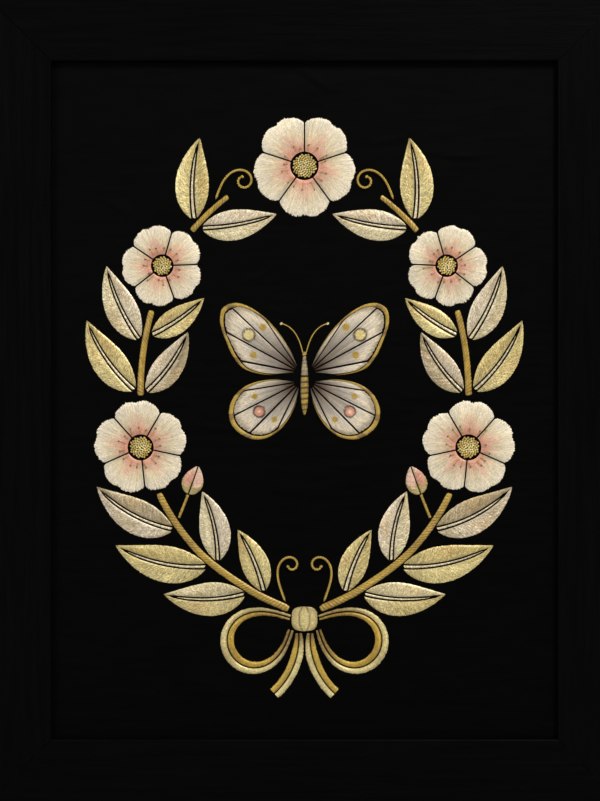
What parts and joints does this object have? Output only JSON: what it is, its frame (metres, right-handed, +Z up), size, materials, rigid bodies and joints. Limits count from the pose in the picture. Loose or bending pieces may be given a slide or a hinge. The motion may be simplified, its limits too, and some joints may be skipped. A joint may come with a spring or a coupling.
{
  "type": "framed silk embroidery",
  "caption": "Upright rectangular silk embroidery, padded satin stitch on a taut black silk ground, stretched over a board and set in a plain black mitred frame that hangs on a wall.",
  "frame": {"origin": "middle of the flat back, which lies against the wall, at the middle of the frame's height", "axes": "+Y out of the back into the wall, -Y out of the embroidered front, +Z up, +X to the viewer's right"},
  "size_m": [0.42, 0.018, 0.532],
  "materials": {
    "frame_wood": "ebonised, satin",
    "fibreboard": "raw fibreboard",
    "black_silk": "plain-woven silk, taut",
    "petal_silk": "satin stitch in cream silk, shaded to pink at the throat",
    "leaf_silk": "satin stitch in two shades of gold and pale silk",
    "old_gold_silk": "stem stitch in old-gold silk",
    "bud_silk": "satin stitch in pink silk",
    "ribbon_silk": "satin stitch in gold silk",
    "wing_silk": "satin stitch in grey and beige silk"
  },
  "bodies": {
    "root": {"frame_top": "frame_wood", "frame_bottom": "frame_wood", "frame_left": "frame_wood", "frame_right": "frame_wood", "mount_board": "fibreboard", "silk_ground": "black_silk", "bloom_side_right": "petal_silk", "bloom_side_left": "petal_silk", "bloom_upper_right": "petal_silk", "bloom_upper_left": "petal_silk", "bloom_top": "petal_silk", "leaf_a_right": "leaf_silk", "leaf_a_left": "leaf_silk", "leaf_b_right": "leaf_silk", "leaf_b_left": "leaf_silk", "leaf_c_right": "leaf_silk", "leaf_c_left": "leaf_silk", "leaf_d_right": "leaf_silk", "leaf_d_left": "leaf_silk", "leaf_e_right": "leaf_silk", "leaf_e_left": "leaf_silk", "leaf_f_right": "leaf_silk", "leaf_f_left": "leaf_silk", "leaf_g_right": "leaf_silk", "leaf_g_left": "leaf_silk", "leaf_h_right": "leaf_silk", "leaf_h_left": "leaf_silk", "leaf_i_right": "leaf_silk", "leaf_i_left": "leaf_silk", "leaf_j_right": "leaf_silk", "leaf_j_left": "leaf_silk", "leaf_k_right": "leaf_silk", "leaf_k_left": "leaf_silk", "stem_low_right": "old_gold_silk", "stem_low_left": "old_gold_silk", "stem_mid_right": "old_gold_silk", "stem_mid_left": "old_gold_silk", "stem_top_right": "old_gold_silk", "stem_top_left": "old_gold_silk", "curl_in_right": "old_gold_silk", "curl_in_left": "old_gold_silk", "curl_out_right": "old_gold_silk", "curl_out_left": "old_gold_silk", "butterfly_body": "old_gold_silk", "bud_right": "bud_silk", "bud_left": "bud_silk", "bow_loop_right": "ribbon_silk", "bow_loop_left": "ribbon_silk", "bow_tail_right": "ribbon_silk", "bow_tail_left": "ribbon_silk", "bow_knot": "ribbon_silk", "wing_upper_right": "wing_silk", "wing_upper_left": "wing_silk", "wing_lower_right": "wing_silk", "wing_lower_left": "wing_silk"}
  },
  "joints": []
}
